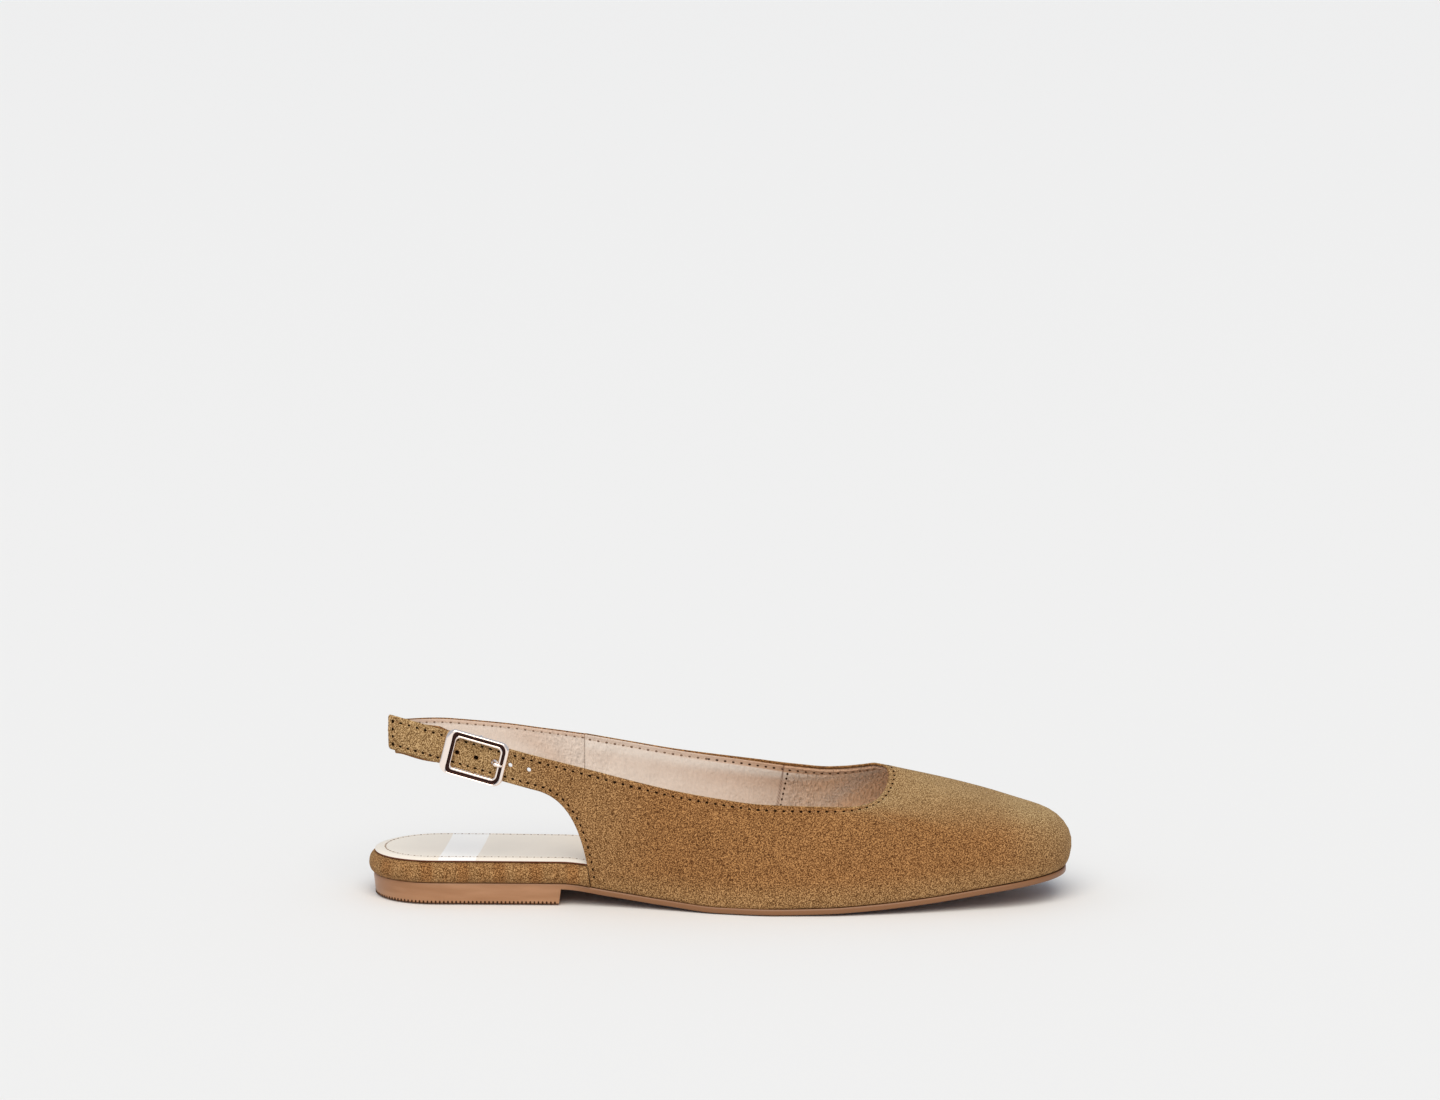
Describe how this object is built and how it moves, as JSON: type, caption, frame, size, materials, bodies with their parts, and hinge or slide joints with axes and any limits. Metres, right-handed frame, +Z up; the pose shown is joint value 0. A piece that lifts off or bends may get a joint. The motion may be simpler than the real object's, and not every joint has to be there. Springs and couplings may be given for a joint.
{
  "type": "slingback shoe",
  "caption": "Flat slingback shoe for the right foot: suede closed-toe upper with a softly squared toe, a buckled strap round the heel and a thin sole on a low heel.",
  "frame": {"origin": "on the floor, under the middle of the shoe's bounding box", "axes": "+X from the heel to the toe, +Z up, so that the outer (lateral) side faces -Y"},
  "size_m": [0.2591, 0.0781, 0.0696],
  "materials": {
    "sole_rubber": "satin moulded",
    "rand_suede": "napped matte",
    "lining_leather": "smooth satin",
    "suede": "napped matte",
    "strap_suede": "napped matte",
    "buckle_metal": "polished rose gold",
    "prong_metal": "polished rose gold"
  },
  "bodies": {
    "root": {"outsole": "sole_rubber", "footbed": "rand_suede", "insole": "lining_leather", "upper": "suede", "heel_strap": "strap_suede", "buckle_frame": "buckle_metal", "buckle_prong": "prong_metal"}
  },
  "joints": []
}
